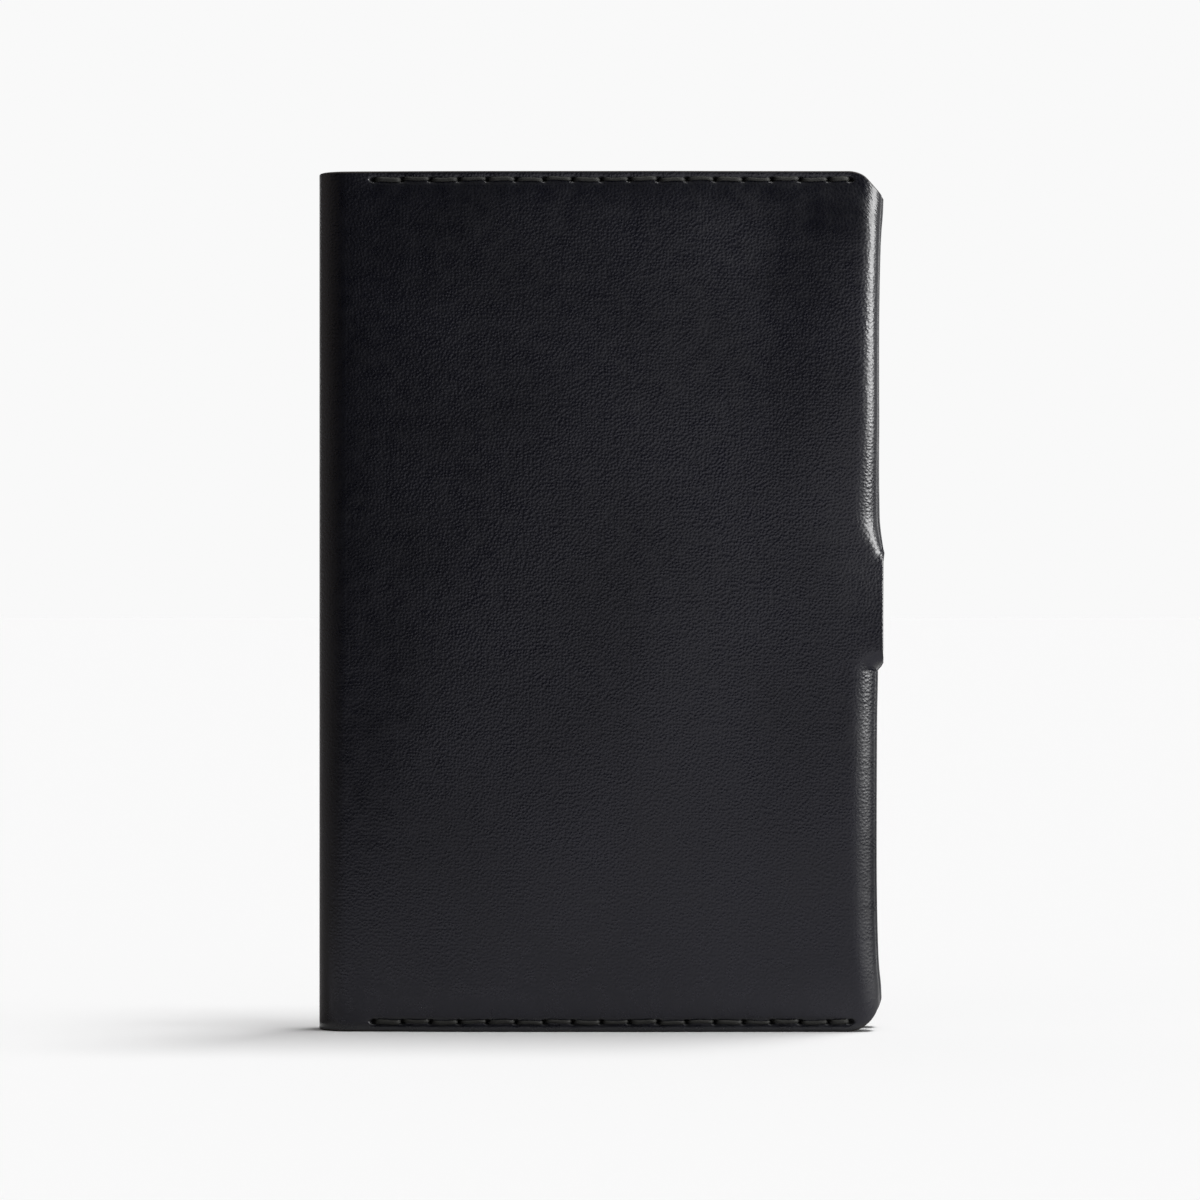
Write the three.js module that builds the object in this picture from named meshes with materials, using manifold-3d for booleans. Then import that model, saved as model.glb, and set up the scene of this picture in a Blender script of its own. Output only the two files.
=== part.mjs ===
// Travel wallet: one leather blank folded into a book cover, with a stitched pocket flap in each
// board and a stack of card pockets on the front flap.
// Millimetres, +Z up. The spine stands at -X, the fore edge at +X, the front board faces -Y.
import * as THREE from 'three';
import { LoftGeometry } from 'three/addons/geometries/LoftGeometry.js';
import { mergeVertices } from 'three/addons/utils/BufferGeometryUtils.js';
import Module from 'manifold-3d';

const wasm = await Module();
wasm.setup();

// Cover, closed and standing
const COVER_WIDTH = 100.2; // spine to the edge of the back tab
const COVER_HEIGHT = 151.4;
const LEATHER = 1.3;
const POCKET_GAP = 2.4; // room inside a pocket flap
const SEAM_GAP = 0.3; // what is left of that room at the sewn edges
const FOLD_GAP = 0.6; // between the two rolled fore edges
const CLOSING_GAP = 0.2; // between the card stack and the back flap
const BACK_LEAD = 0.75; // the back board reaches this far past the front one
const SPINE_SPLIT = 0.3; // between the spine and a board, where the leather bends

// Pocket flaps
const FLAP_INSET = 6.8; // spine to the free edge of a flap
const SEAM_BAND = 3.2; // flat sewn strip along the top and bottom
const FLAP_RAMP = 14; // height over which a pocket opens out from that strip
const FOLD_RAMP = 28; // the same for the rolled fore edge
const SWELL_RUN = 14; // width over which the roll settles down to the flap
const CORNER_RADIUS = 7;

// Thumb tab: a flat stretch of the fore edge, with a notch in the flap behind it
const TAB_HEIGHT = 20.6;
const TAB_DROP = 0.9; // centre of the tab below the middle of the cover
const TAB_REACH = 0.5; // tab edge past the line the blank is folded on
const TAB_SHOULDER = 7; // height over which the roll flattens out into the tab
const NOTCH_DEPTH = 6;
const NOTCH_RADIUS = 3;

// Saddle stitching
const STITCH_PITCH = 5;
const SHORTEST_STITCH = 2.5;
const THREAD_WIDTH = 0.8;
const THREAD_FLAT = 0.3; // thickness of the thread as it is pressed into the leather
const THREAD_SINK = 0.05; // top of the thread below the leather
const THREAD_DIP = 0.25; // further down at each hole
const POST_WIDTH = 0.6; // thread inside a hole
const STITCH_CLEARANCE = 0.1;
const FIRST_STITCH = 9.86; // from the spine
const LAST_STITCH = 5.82; // from the tab edge
const TOP_STITCH_INSET = 1.5;
const BOTTOM_STITCH_INSET = 1.8;

// Card pockets, stepped up the front flap
const CARD_POCKETS = ['card_pocket_back', 'card_pocket_middle', 'card_pocket_front'];
const CARD_LEATHER = 0.7;
const CARD_LAYER_GAP = 0.1;
const CARD_POCKET_WIDTH = 62;
const CARD_POCKET_HEIGHT = 72;
const CARD_STEP = 14;
const CARD_FOOT = 0.8; // lowest pocket above the end of the flap's ramp
const CARD_STITCH_INSET = 3;
const CARD_TAIL_CLEARANCE = 1.2; // narrow part of a pocket to the side stitches

// Facets
const SPINE_STEPS = 8;
const BOARD_ARC_STEPS = 4;
const FOLD_STEPS = 10;
const FOLD_INNER_STEPS = 6;
const SWELL_STEPS = 4;
const RAMP_STEPS = 4;
const CORNER_STEPS = 5;
const CUT_MARGIN = 1; // how far a cut runs past what it cuts
const STRAIGHT = 1e-9; // turn below which an outline is straight

// Worked out from the above
const FLAP_DEPTH = 2 * LEATHER + POCKET_GAP;
const SEAM_DEPTH = 2 * LEATHER + SEAM_GAP;
const CARD_LAYER = CARD_LEATHER + CARD_LAYER_GAP;
const THICKNESS = 2 * FLAP_DEPTH + CARD_POCKETS.length * CARD_LAYER + CLOSING_GAP;
const FOLD_DEPTH = (THICKNESS - FOLD_GAP) / 2;
const SPINE_RADIUS = THICKNESS / 2;
const SPINE_X = SPINE_RADIUS - COVER_WIDTH / 2;
const FLAP_EDGE = FLAP_INSET - COVER_WIDTH / 2;
const SPLIT_ANGLE = SPINE_SPLIT / 2 / SPINE_RADIUS;
const TAB_CENTRE = COVER_HEIGHT / 2 - TAB_DROP;
const THREAD_RAIL = THREAD_SINK + THREAD_FLAT;

const X = new THREE.Vector3(1, 0, 0);
const Y = new THREE.Vector3(0, 1, 0);
const Z = new THREE.Vector3(0, 0, 1);

const BOARD_LEATHER_LOOK = { color: 0x1f2025, roughness: 0.55, metalness: 0 };
const CARD_LEATHER_LOOK = { color: 0x1b1b1f, roughness: 0.6, metalness: 0 };
const THREAD_LOOK = { color: 0x2b2b26, roughness: 0.8, metalness: 0 };

// The two boards: depth is measured from a board's outer face towards the middle of the wallet
const FRONT = { sign: 1, tabEdge: COVER_WIDTH / 2 - BACK_LEAD };
const BACK = { sign: -1, tabEdge: COVER_WIDTH / 2 };
for (const board of [FRONT, BACK]) {
  board.foldLine = board.tabEdge - TAB_REACH;
  board.swellEnd = rollCentre(board, FOLD_DEPTH) - SWELL_RUN;
}

function depthToY(board, depth) {
  return board.sign * (depth - THICKNESS / 2);
}

// Centre of the rolled edge: the blank bends about one line, so a fatter roll draws back
function rollCentre(board, depth) {
  return board.foldLine - (Math.PI / 2) * (depth / 2 - LEATHER / 2);
}

// Booleans
function toSolid(geometry) {
  const bare = new THREE.BufferGeometry();
  bare.setAttribute('position', geometry.getAttribute('position'));
  bare.setIndex(geometry.getIndex());
  const merged = mergeVertices(bare);
  return new wasm.Manifold(new wasm.Mesh({
    numProp: 3,
    vertProperties: new Float32Array(merged.getAttribute('position').array),
    triVerts: new Uint32Array(merged.getIndex().array),
  }));
}

function toGeometry(solid) {
  const mesh = solid.getMesh();
  const geometry = new THREE.BufferGeometry();
  geometry.setAttribute('position', new THREE.BufferAttribute(mesh.vertProperties, 3));
  geometry.setIndex(new THREE.BufferAttribute(mesh.triVerts, 1));
  geometry.computeVertexNormals();
  return geometry;
}

function subtractAll(solid, cutters) {
  return cutters.reduce((rest, cutter) => rest.subtract(toSolid(cutter)), solid);
}

function subtractSolids(solid, cutters) {
  return cutters.reduce((rest, cutter) => rest.subtract(cutter), solid);
}

function addMesh(group, name, geometry, look) {
  const mesh = new THREE.Mesh(geometry, new THREE.MeshStandardMaterial(look));
  mesh.name = name;
  group.add(mesh);
}

// An outline drawn in X and Z, given thickness from one Y to another
function plate(shape, yA, yB) {
  const options = { depth: Math.abs(yB - yA), bevelEnabled: false, curveSegments: CORNER_STEPS };
  const geometry = new THREE.ExtrudeGeometry(shape, options);
  const place = new THREE.Matrix4().makeBasis(X, Z, Y.clone().negate());
  return geometry.applyMatrix4(place.setPosition(0, Math.max(yA, yB), 0));
}

function rectangle(left, bottom, right, top) {
  const shape = new THREE.Shape();
  shape.moveTo(left, bottom);
  shape.lineTo(right, bottom);
  shape.lineTo(right, top);
  shape.lineTo(left, top);
  return shape;
}

// Pinch of the sewn edges: 0 on the sewn strip, 1 where the pocket is fully open
function opening(z, ramp) {
  const fromEdge = Math.min(z, COVER_HEIGHT - z) - SEAM_BAND;
  return Math.sin((Math.PI / 2) * THREE.MathUtils.clamp(fromEdge / ramp, 0, 1));
}

// One leather section of a board at one height, as [x, depth] pairs: out along the outer face,
// round the roll, back along the flap and home again inside
function boardSection(board, z) {
  const foldDepth = THREE.MathUtils.lerp(SEAM_DEPTH, FOLD_DEPTH, opening(z, FOLD_RAMP));
  const flapDepth = THREE.MathUtils.lerp(SEAM_DEPTH, FLAP_DEPTH, opening(z, FLAP_RAMP));
  const rollX = rollCentre(board, foldDepth);
  const rollRadius = foldDepth / 2;

  const spineArc = (radius) => {
    const start = Math.PI / 4 + SPLIT_ANGLE;
    return Array.from({ length: BOARD_ARC_STEPS + 1 }, (_, i) => {
      const angle = THREE.MathUtils.lerp(start, Math.PI / 2, i / BOARD_ARC_STEPS);
      return [SPINE_X - radius * Math.cos(angle), SPINE_RADIUS - radius * Math.sin(angle)];
    });
  };
  const rollArc = (radius, steps) => Array.from({ length: steps + 1 }, (_, i) => {
    const angle = Math.PI * (i / steps - 0.5);
    return [rollX + radius * Math.cos(angle), rollRadius + radius * Math.sin(angle)];
  });
  const swell = (inward) => Array.from({ length: SWELL_STEPS }, (_, i) => {
    const along = (i + 1) / SWELL_STEPS;
    const depth = THREE.MathUtils.lerp(foldDepth, flapDepth, THREE.MathUtils.smoothstep(along, 0, 1));
    return [THREE.MathUtils.lerp(rollX, board.swellEnd, along), depth - inward];
  });

  return [
    ...spineArc(SPINE_RADIUS),
    ...rollArc(rollRadius, FOLD_STEPS),
    ...swell(0),
    [FLAP_EDGE, flapDepth],
    [FLAP_EDGE, flapDepth - LEATHER],
    ...swell(LEATHER).reverse(),
    ...rollArc(rollRadius - LEATHER, FOLD_INNER_STEPS).reverse(),
    ...spineArc(SPINE_RADIUS - LEATHER).reverse(),
  ];
}

function boardHeights() {
  const lower = [0, SEAM_BAND];
  const ramps = [FLAP_RAMP, FOLD_RAMP].sort((a, b) => a - b);
  let from = 0;
  for (const to of ramps) {
    for (let i = 1; i <= RAMP_STEPS && to > from; i += 1) {
      lower.push(SEAM_BAND + THREE.MathUtils.lerp(from, to, i / RAMP_STEPS));
    }
    from = to;
  }
  return [...lower, ...lower.map((z) => COVER_HEIGHT - z).reverse()];
}

function boardBlank(board) {
  const sections = boardHeights().map((z) => {
    const points = boardSection(board, z).map(([x, depth]) => (
      new THREE.Vector3(x, depthToY(board, depth), z)
    ));
    return board.sign > 0 ? points : points.reverse();
  });
  return new LoftGeometry(sections, { capStart: true, capEnd: true });
}

// What is cut off a board's fore-edge corner: a round that runs out at 45 degrees
function cornerCut(board, top) {
  const centreX = board.tabEdge - CORNER_RADIUS;
  const up = top ? 1 : -1;
  const edge = top ? COVER_HEIGHT : 0;
  const shape = new THREE.Shape();
  shape.moveTo(centreX, edge);
  const turn = top ? [Math.PI / 2, Math.PI / 4, true] : [-Math.PI / 2, -Math.PI / 4, false];
  shape.absarc(centreX, edge - up * CORNER_RADIUS, CORNER_RADIUS, ...turn);
  const runOut = CORNER_RADIUS * Math.SQRT1_2 + CUT_MARGIN;
  const arcEnd = CORNER_RADIUS * Math.SQRT1_2;
  shape.lineTo(centreX + arcEnd + runOut, edge + up * (arcEnd - CORNER_RADIUS - runOut));
  shape.lineTo(centreX + arcEnd + runOut, edge + up * CUT_MARGIN);
  shape.lineTo(centreX, edge + up * CUT_MARGIN);
  return plate(shape, -THICKNESS, THICKNESS);
}

// Notch in the roll and the flap behind the thumb tab
function tabNotch(board) {
  const left = rollCentre(board, FOLD_DEPTH) - NOTCH_DEPTH;
  const right = board.tabEdge + CUT_MARGIN;
  const bottom = TAB_CENTRE - TAB_HEIGHT / 2;
  const top = TAB_CENTRE + TAB_HEIGHT / 2;
  const shape = new THREE.Shape();
  shape.moveTo(right, bottom);
  shape.lineTo(right, top);
  shape.absarc(left + NOTCH_RADIUS, top - NOTCH_RADIUS, NOTCH_RADIUS, Math.PI / 2, Math.PI, false);
  shape.absarc(left + NOTCH_RADIUS, bottom + NOTCH_RADIUS, NOTCH_RADIUS, Math.PI, 1.5 * Math.PI, false);
  return plate(shape, depthToY(board, LEATHER), depthToY(board, FOLD_DEPTH + CUT_MARGIN));
}

function thumbTab(board) {
  const root = rollCentre(board, FOLD_DEPTH);
  const half = TAB_HEIGHT / 2;
  const shape = new THREE.Shape();
  shape.moveTo(root - CUT_MARGIN, TAB_CENTRE - half - TAB_SHOULDER);
  shape.lineTo(root, TAB_CENTRE - half - TAB_SHOULDER);
  shape.lineTo(board.tabEdge, TAB_CENTRE - half);
  shape.lineTo(board.tabEdge, TAB_CENTRE + half);
  shape.lineTo(root, TAB_CENTRE + half + TAB_SHOULDER);
  shape.lineTo(root - CUT_MARGIN, TAB_CENTRE + half + TAB_SHOULDER);
  return plate(shape, depthToY(board, 0), depthToY(board, LEATHER));
}

// Stitching: a row of holes at one pitch, closed by a shorter stitch where the row ends
function holePlaces(first, last) {
  const places = [];
  for (let at = first; at <= last - SHORTEST_STITCH; at += STITCH_PITCH) {
    places.push(at);
  }
  return [...places, last];
}

// A row of saddle stitches: a rail on each face of the leather and a post in every hole.
// Holes are { at, face }, with face the depth of the visible side. The channel in the leather is
// the same shape grown by the clearance and left open at both faces.
function stitchSolid(row, channel) {
  const { holes, under } = row;
  const grow = channel ? STITCH_CLEARANCE : 0;
  const outside = channel ? -CUT_MARGIN : THREAD_SINK;
  const dip = channel ? 0 : THREAD_DIP;
  const half = POST_WIDTH / 2 + grow;
  const rail = THREAD_RAIL + grow;
  const width = THREAD_WIDTH + 2 * grow;
  const upper = holes.flatMap(({ at, face }) => [
    new THREE.Vector2(at - half, face + outside),
    new THREE.Vector2(at, face + outside + dip),
    new THREE.Vector2(at + half, face + outside),
  ]);
  const lower = [upper[upper.length - 1], upper[0]].map(({ x }) => new THREE.Vector2(x, under - outside));
  const windows = holes.slice(1).map((b, i) => {
    const a = holes[i];
    return new THREE.Shape([
      new THREE.Vector2(a.at + half, a.face + rail),
      new THREE.Vector2(b.at - half, b.face + rail),
      new THREE.Vector2(b.at - half, under - rail),
      new THREE.Vector2(a.at + half, under - rail),
    ]);
  });
  const outline = new THREE.Shape(cornersOnly([...upper, ...lower]));
  const openings = windows.map((window) => acrossRow(row, window, width + 2 * CUT_MARGIN));
  return subtractAll(toSolid(acrossRow(row, outline, width)), openings);
}

// Points of a closed outline where it turns
function cornersOnly(points) {
  return points.filter((point, i) => {
    const before = points[(i + points.length - 1) % points.length];
    const after = points[(i + 1) % points.length];
    return Math.abs(point.clone().sub(before).cross(after.clone().sub(point))) > STRAIGHT;
  });
}

// An outline along a row and into the leather, given width across the thread
function acrossRow(row, shape, width) {
  const geometry = new THREE.ExtrudeGeometry(shape, { depth: width, bevelEnabled: false });
  geometry.translate(0, 0, -width / 2);
  const across = new THREE.Vector3().crossVectors(row.along, row.into);
  const place = new THREE.Matrix4().makeBasis(row.along, row.into, across);
  return geometry.applyMatrix4(place.setPosition(row.origin));
}

function edgeRow(board, z) {
  const along = X.clone().multiplyScalar(board.sign);
  const places = holePlaces(FIRST_STITCH - COVER_WIDTH / 2, board.tabEdge - LAST_STITCH);
  return {
    along,
    into: Y.clone().multiplyScalar(board.sign),
    origin: new THREE.Vector3(0, depthToY(board, 0), z),
    holes: order(places.map((x) => ({ at: x * board.sign, face: 0 }))),
    under: SEAM_DEPTH,
  };
}

function order(holes) {
  return holes.sort((a, b) => a.at - b.at);
}

// Card pockets: each is wide at its mouth and narrow behind the pocket in front of it
const cardCentreX = (FLAP_EDGE + FRONT.swellEnd) / 2;
const cardFloor = SEAM_BAND + FLAP_RAMP + CARD_FOOT;
const cardHalf = CARD_POCKET_WIDTH / 2;
const cardSeamHalf = cardHalf - CARD_STITCH_INSET;
const flapFace = depthToY(FRONT, FLAP_DEPTH);
const flapInside = depthToY(FRONT, FLAP_DEPTH - LEATHER);

const cards = CARD_POCKETS.map((name, layer) => {
  const foot = cardFloor + (CARD_POCKETS.length - 1 - layer) * CARD_STEP;
  const back = flapFace + CARD_LAYER_GAP + layer * CARD_LAYER;
  return { name, foot, mouth: foot + CARD_POCKET_HEIGHT, back, face: back + CARD_LEATHER };
});
const frontCard = cards[cards.length - 1];

function cardOutline(card) {
  const left = cardCentreX - cardHalf;
  const right = cardCentreX + cardHalf;
  if (card === frontCard) {
    return rectangle(left, card.foot, right, card.mouth);
  }
  const shoulder = card.mouth - CARD_STEP;
  const tail = CARD_STITCH_INSET + THREAD_WIDTH / 2 + CARD_TAIL_CLEARANCE;
  const shape = new THREE.Shape();
  shape.moveTo(left, card.mouth);
  shape.lineTo(left, shoulder);
  shape.lineTo(left + tail, shoulder);
  shape.lineTo(left + tail, card.foot);
  shape.lineTo(right - tail, card.foot);
  shape.lineTo(right - tail, shoulder);
  shape.lineTo(right, shoulder);
  shape.lineTo(right, card.mouth);
  return shape;
}

function cardSideRow(side) {
  const top = cards[0].mouth - CARD_STITCH_INSET;
  const places = holePlaces(frontCard.foot + CARD_STITCH_INSET, top);
  const faceAt = (z) => cards.findLast((card) => z <= card.mouth).face;
  return {
    along: Z,
    into: Y.clone().negate(),
    origin: new THREE.Vector3(cardCentreX + side * cardSeamHalf, 0, 0),
    holes: places.map((z) => ({ at: z, face: -faceAt(z) })),
    under: -flapInside,
  };
}

function cardFootRow(card) {
  const reach = cardSeamHalf - STITCH_PITCH;
  const places = holePlaces(cardCentreX - reach, cardCentreX + reach);
  return {
    along: X.clone().negate(),
    into: Y.clone().negate(),
    origin: new THREE.Vector3(0, 0, card.foot + CARD_STITCH_INSET),
    holes: order(places.map((x) => ({ at: -x, face: -card.face }))),
    under: -flapInside,
  };
}

const cardRows = {
  card_left_thread: cardSideRow(-1),
  card_right_thread: cardSideRow(1),
};
for (const card of cards) {
  cardRows[card.name.replace('pocket', 'foot_thread')] = cardFootRow(card);
}
const cardChannels = Object.values(cardRows).map((row) => stitchSolid(row, true));

// Spine: the middle half of the bend
function spine() {
  const reach = Math.PI / 4 - SPLIT_ANGLE;
  const shape = new THREE.Shape();
  shape.absarc(SPINE_X, 0, SPINE_RADIUS, Math.PI - reach, Math.PI + reach, false);
  shape.absarc(SPINE_X, 0, SPINE_RADIUS - LEATHER, Math.PI + reach, Math.PI - reach, true);
  const options = { depth: COVER_HEIGHT, bevelEnabled: false, curveSegments: SPINE_STEPS };
  return new THREE.ExtrudeGeometry(shape, options);
}

function boardRows(board) {
  return {
    top_thread: edgeRow(board, COVER_HEIGHT - TOP_STITCH_INSET),
    bottom_thread: edgeRow(board, BOTTOM_STITCH_INSET),
  };
}

function addBoard(group, name, board, moreChannels) {
  const rows = boardRows(board);
  const channels = Object.values(rows).map((row) => stitchSolid(row, true));
  const cuts = [cornerCut(board, true), cornerCut(board, false), tabNotch(board)];
  const trimmed = subtractAll(toSolid(boardBlank(board)), cuts).add(toSolid(thumbTab(board)));
  const sewn = subtractSolids(trimmed, [...channels, ...moreChannels]);
  addMesh(group, `${name}_cover`, toGeometry(sewn), BOARD_LEATHER_LOOK);
  for (const [row, stitches] of Object.entries(rows)) {
    addMesh(group, `${name}_${row}`, toGeometry(stitchSolid(stitches, false)), THREAD_LOOK);
  }
}

function addCards(group) {
  for (const card of cards) {
    const blank = toSolid(plate(cardOutline(card), card.back, card.face));
    const leather = subtractSolids(blank, cardChannels);
    addMesh(group, card.name, toGeometry(leather), CARD_LEATHER_LOOK);
  }
  for (const [name, row] of Object.entries(cardRows)) {
    addMesh(group, name, toGeometry(stitchSolid(row, false)), THREAD_LOOK);
  }
}

const wallet = new THREE.Group();
const frontBoard = new THREE.Group();
const backBoard = new THREE.Group();
wallet.add(frontBoard, backBoard);

addMesh(wallet, 'spine', spine(), BOARD_LEATHER_LOOK);
addBoard(frontBoard, 'front', FRONT, cardChannels);
addCards(frontBoard);
addBoard(backBoard, 'back', BACK, []);

export default wallet;
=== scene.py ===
"""Look of a book-style leather travel wallet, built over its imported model.

The cover is one leather blank that bends round the spine and turns in at both fore edges. Each half
of it is made as a sheet: places on the flat blank are mapped to where the leather lies when it is sewn.
Lengths of the wallet are in millimetres until they go into a mesh. The set, the lamps, the camera and the
relief of the materials are in metres.
"""

import math
from types import SimpleNamespace

import bpy
import numpy as np
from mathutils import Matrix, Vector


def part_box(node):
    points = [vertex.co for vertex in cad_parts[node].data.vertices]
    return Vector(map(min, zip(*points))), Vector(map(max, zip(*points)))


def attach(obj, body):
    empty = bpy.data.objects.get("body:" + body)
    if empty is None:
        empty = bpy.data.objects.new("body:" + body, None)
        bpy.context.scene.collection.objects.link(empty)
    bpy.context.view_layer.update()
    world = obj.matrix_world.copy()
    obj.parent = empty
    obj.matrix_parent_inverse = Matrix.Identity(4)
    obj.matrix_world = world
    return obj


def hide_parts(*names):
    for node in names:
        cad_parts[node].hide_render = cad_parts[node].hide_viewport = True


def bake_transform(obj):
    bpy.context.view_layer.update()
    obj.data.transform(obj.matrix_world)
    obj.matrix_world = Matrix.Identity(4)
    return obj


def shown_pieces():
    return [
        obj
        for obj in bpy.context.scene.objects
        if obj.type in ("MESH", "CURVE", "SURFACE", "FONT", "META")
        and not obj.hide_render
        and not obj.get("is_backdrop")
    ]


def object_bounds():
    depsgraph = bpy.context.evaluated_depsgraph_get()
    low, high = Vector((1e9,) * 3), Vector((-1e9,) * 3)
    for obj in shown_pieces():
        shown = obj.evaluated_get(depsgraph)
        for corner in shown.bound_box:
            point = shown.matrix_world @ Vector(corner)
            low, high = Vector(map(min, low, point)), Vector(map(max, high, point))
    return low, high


MM = 0.001
TINY = 1e-9  # keeps a length from being divided by zero
LINE_SLACK = 1e-6  # slack when grid lines are compared

# Cover, folded and sewn
LEATHER = 1.3
EDGE_ROUND = 0.3  # how far a cut edge bulges
EDGE_RINGS = 5
FLAP_INSET = 6.8  # spine to the free edge of a flap
SEAM_BAND = 3.2  # flat sewn strip along the top and bottom
SEAM_DEPTH = 3.1  # outside of the board to inside of the flap, at the seams
FLAP_DEPTH = 5.0  # the same where the pocket is open
FLAP_RAMP = 14  # height over which the pocket opens out
EDGE_SINK = 0.45  # how far the seams draw the board inwards
EDGE_SINK_RUN = 11
WAVE_HEIGHT = 0.1
WAVES = ((0.5, 0.13, 0.05, 1.1), (0.3, -0.17, 0.09, 0.4), (0.15, 0.31, 0.22, 0.0))  # share, x, z, phase

# Spine and board
SPINE_BEND = 4.9  # radius of the bend, half way through the leather
SPINE_EASE = 9
BOARD_TILT = 0.1  # what is left of the bend where the board starts, in radians
TILT_FADE = 15
BOARD_FALL = 0.35  # how far the board falls back towards the fold
FALL_START = 44
FALL_RUN = 24
PROFILE_STEP = 0.02

# Rolled fold at the fore edge
FOLD_SEAM_DEPTH = 5.0
FOLD_DEPTH_UPPER = 5.4
FOLD_DEPTH_LOWER = 5.9
FOLD_RAMP = 20
FOLD_INSET = 0.35
FOLD_BOW = 0.5  # how far out the fold lies at the corners
FOLD_BOW_RUN = 28
FOLD_LEAN = 0.34  # how much further out it lies at the top than at the foot
FOLD_LEAN_RATE = 1.9
FOLD_LEAN_START = 0.4
FOLD_LEAN_LEVEL = 0.6
FOLD_PULL = 0.25  # how far out it is drawn above the thumb tab
FOLD_PULL_RUN = 11
FOLD_PULL_PEAK = 0.6
SWELL_RUN = 14  # width over which the roll settles down to the flap
STRAIGHTEN_RUN = 40
ROLL_EASE_UPPER = 1.35  # length over which a roll of radius 1 starts to bend
ROLL_EASE_LOWER = 2.7
ROLL_EASE_RUN = 24
ROLL_STEPS = 1500
LEAST_BEND = 1e-3
PUFF_UPPER = 0.9  # how far the fold stands proud of the board
PUFF_LOWER = 0.15
PUFF_RUN = 17
PUFF_TOP_RUN = 8
PUFF_FADE = 30

# Thumb tab, the slit at its ends and the notch behind it
TAB_HEIGHT = 21.6
TAB_DROP = 1.4  # centre of the tab below the middle of the cover
TAB_REACH = 0.55
TAB_UNROLL_ABOVE = 3  # height over which the roll flattens out into the tab
TAB_UNROLL_BELOW = 4
TAB_CURL = 0.75  # how far the tab's edge curls inwards
TAB_CURL_RUN = 15
TAB_CURL_FADE = 3.5
TAB_CURL_RISE = 8
TAB_CURL_SPREAD = 11
SLIT_RUN_ABOVE = 6.5
SLIT_RUN_BELOW = 10
SLIT_FULLNESS = 0.85  # how full the fold is at the lower end of the slit
NOTCH_DEPTH = 6
NOTCH_POWER = 2.6
NOTCH_BLEND = 12

# Fore-edge corners
CORNER_RADIUS = 5
CORNER_REACH = 6.0  # where a corner starts, from the outer edge of the fold
CORNER_SWEEP = 0.985
CORNER_FADE = 14

# Saddle stitches
STITCH_PITCH = 5
FIRST_STITCH = 9.86  # from the spine
LAST_STITCH = 5.82  # from the edge of the tab
SHORTEST_STITCH = 2.5
TOP_ROW_INSET = 1.5
BOTTOM_ROW_INSET = 1.8
HOLE_DEPTH = 1.0
HOLE_HALF_LENGTH = 0.66
HOLE_HALF_WIDTH = 0.46
GROOVE_DEPTH = 0.16
GROOVE_HALF_WIDTH = 0.7
GROOVE_END = 1  # how far a groove runs past its last hole
PULL_DEPTH = 0.1
PULL_RADIUS = 1.7

# Thread
THREAD_WIDTH = 0.66
THREAD_HEIGHT = 0.36
THREAD_SIDES = 14
STRANDS = 3
STRAND_RIDGE = 0.07
THREAD_TWIST = 5.5
THREAD_PINCH = 0.8  # share of the width that is left in a hole
PINCH_DEPTH = 0.5
FULL_STITCH = 3.2  # a shorter stitch has shorter ends
STITCH_LIFT = 0.18
STITCH_MARGIN = 0.25
STITCH_STEP = 0.3
# Distance from the hole and height over the leather, where a stitch comes up
STITCH_ENDS = ((0.22, -0.95), (0.3, -0.6), (0.42, -0.28), (0.6, -0.04), (0.85, 0.1), (1.2, 0.16))
THREAD_UNEVEN = 0.12
UNEVEN_RATE = 5.1
END_STITCH_EXTRA = 0.35  # the first and the last stitch are thicker
STITCH_STRAY = 0.1  # how far a stitch lies off its line
STRAY_RATE = 3.7
STITCH_WIGGLE = 0.06
WIGGLE_RATE = 1.3

# Card pockets
CARD_STEP = 14
CARD_STITCH_INSET = 3
CARD_TAIL_INSET = 4.6
CARD_BEND = 3
CARD_EDGE_ROUND = 0.25
CARD_DENT = 0.5
CARD_THREAD = 0.7
CARD_THREAD_SINK = 0.14
CREASE_INSET = 1.7
CREASE_DEPTH = 0.12
CREASE_HALF_WIDTH = 0.3

# Grids
HOLE_OFFSETS = (0.14, 0.3, 0.42, 0.54, 0.7, 1.0, 1.5)
CARD_HOLE_OFFSETS = (0.22, 0.42, 0.62, 1.1)
ROW_OFFSETS = np.array([0, 0.12, 0.25, 0.36, 0.48, 0.62, 0.85, 1.1])
SLIT_OFFSETS = np.array([0.3, 0.7, 1.2, 1.8, 2.5, 3.4, 4.5, 6])
APEX_OFFSETS = (0.05, 0.15)
COARSE_STEP = 2.1
SPINE_STEP = 0.35
FOLD_STEP = 0.22
FOLD_GRID_REACH = 9  # how far the fine lines run on each side of the fold
LINE_GAP = 0.09
CARD_COARSE_STEP = 2.5
CARD_EDGE_STEP = 0.4
CARD_COLUMN_GAP = 0.12
CARD_ROW_GAP = 0.1
CREASE_GRID_REACH = 0.9
CREASE_STEP = 0.15
SLOPE_STEP = 0.05  # for working out the slope of a surface
FLESH_SHIFT = 40.0  # keeps the pattern of the flesh side apart from that of the grain side

# Set, in metres
FLOOR_REACH = 20.0
NEAR_HALF = 0.14  # half the width of the card in front of the wallet
NEAR_FRONT = -0.25
NEAR_BACK = -0.008
FILL_AIM = (0.5, -0.866, 0.0)  # where the fill light stands, seen from the wallet

# Colours
# Painted shade: the near-black colour inside the stitch holes
PAINTED_HOLE_SHADE = (0.0004, 0.0004, 0.0004, 1)
LEFT_CARD = (0.22, 0.192, 0.184, 1)
FRONT_FILL = (0.18, 0.185, 0.24, 1)
BACKDROP = (0.947, 0.947, 0.947, 1)

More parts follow.
